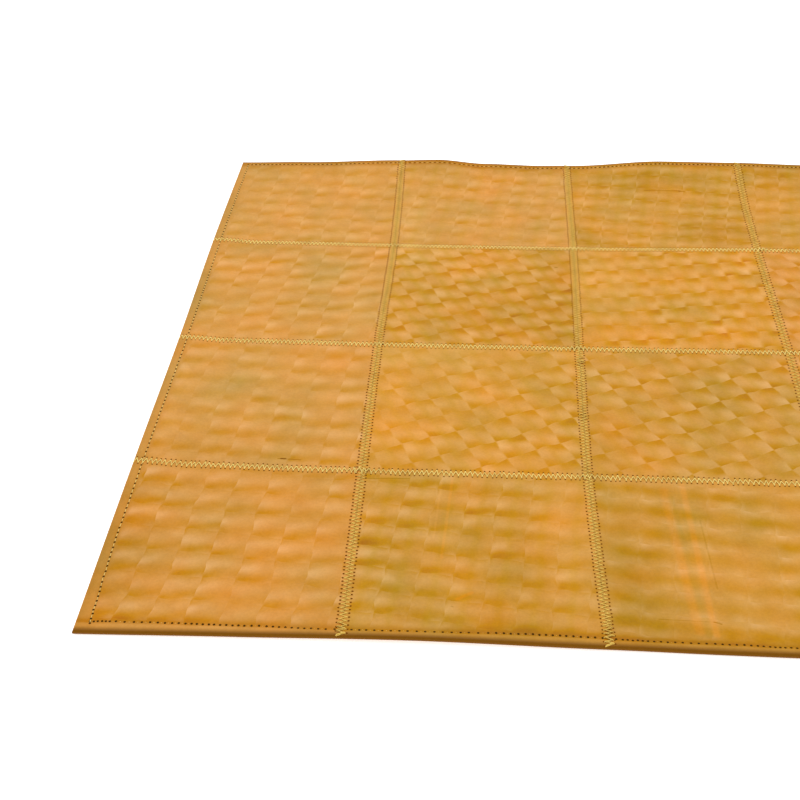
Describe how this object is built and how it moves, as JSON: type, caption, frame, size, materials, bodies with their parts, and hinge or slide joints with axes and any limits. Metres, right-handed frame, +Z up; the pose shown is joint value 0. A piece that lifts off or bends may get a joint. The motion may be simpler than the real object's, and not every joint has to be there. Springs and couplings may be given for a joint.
{
  "type": "rug",
  "caption": "Flat rectangular floor rug of butted square leather patches with zigzag seams, a pressed basket relief and a turned-under stitched hem.",
  "frame": {"origin": "centre of the rug's outline, on the floor that it lies on", "axes": "+X along the long side to the right, +Y across to the back edge, +Z up out of the leather's face"},
  "size_m": [1.1962, 0.801, 0.0126],
  "materials": {
    "leather_honey": "semi-matt vegetable-tanned leather, honey",
    "leather_amber": "semi-matt vegetable-tanned leather, amber",
    "leather_olive": "semi-matt vegetable-tanned leather, olive tan",
    "leather_russet": "semi-matt vegetable-tanned leather, russet tan",
    "sewing_thread": "waxed pale yellow sewing thread, used by the stitches of the visual model only"
  },
  "bodies": {
    "root": {"patch_row1_column1": "leather_russet", "patch_row1_column2": "leather_olive", "patch_row1_column3": "leather_olive", "patch_row1_column4": "leather_amber", "patch_row1_column5": "leather_honey", "patch_row1_column6": "leather_russet", "patch_row2_column1": "leather_honey", "patch_row2_column2": "leather_amber", "patch_row2_column3": "leather_olive", "patch_row2_column4": "leather_russet", "patch_row2_column5": "leather_olive", "patch_row2_column6": "leather_honey", "patch_row3_column1": "leather_honey", "patch_row3_column2": "leather_olive", "patch_row3_column3": "leather_amber", "patch_row3_column4": "leather_russet", "patch_row3_column5": "leather_amber", "patch_row3_column6": "leather_olive", "patch_row4_column1": "leather_honey", "patch_row4_column2": "leather_honey", "patch_row4_column3": "leather_olive", "patch_row4_column4": "leather_olive", "patch_row4_column5": "leather_russet", "patch_row4_column6": "leather_amber"}
  },
  "joints": []
}
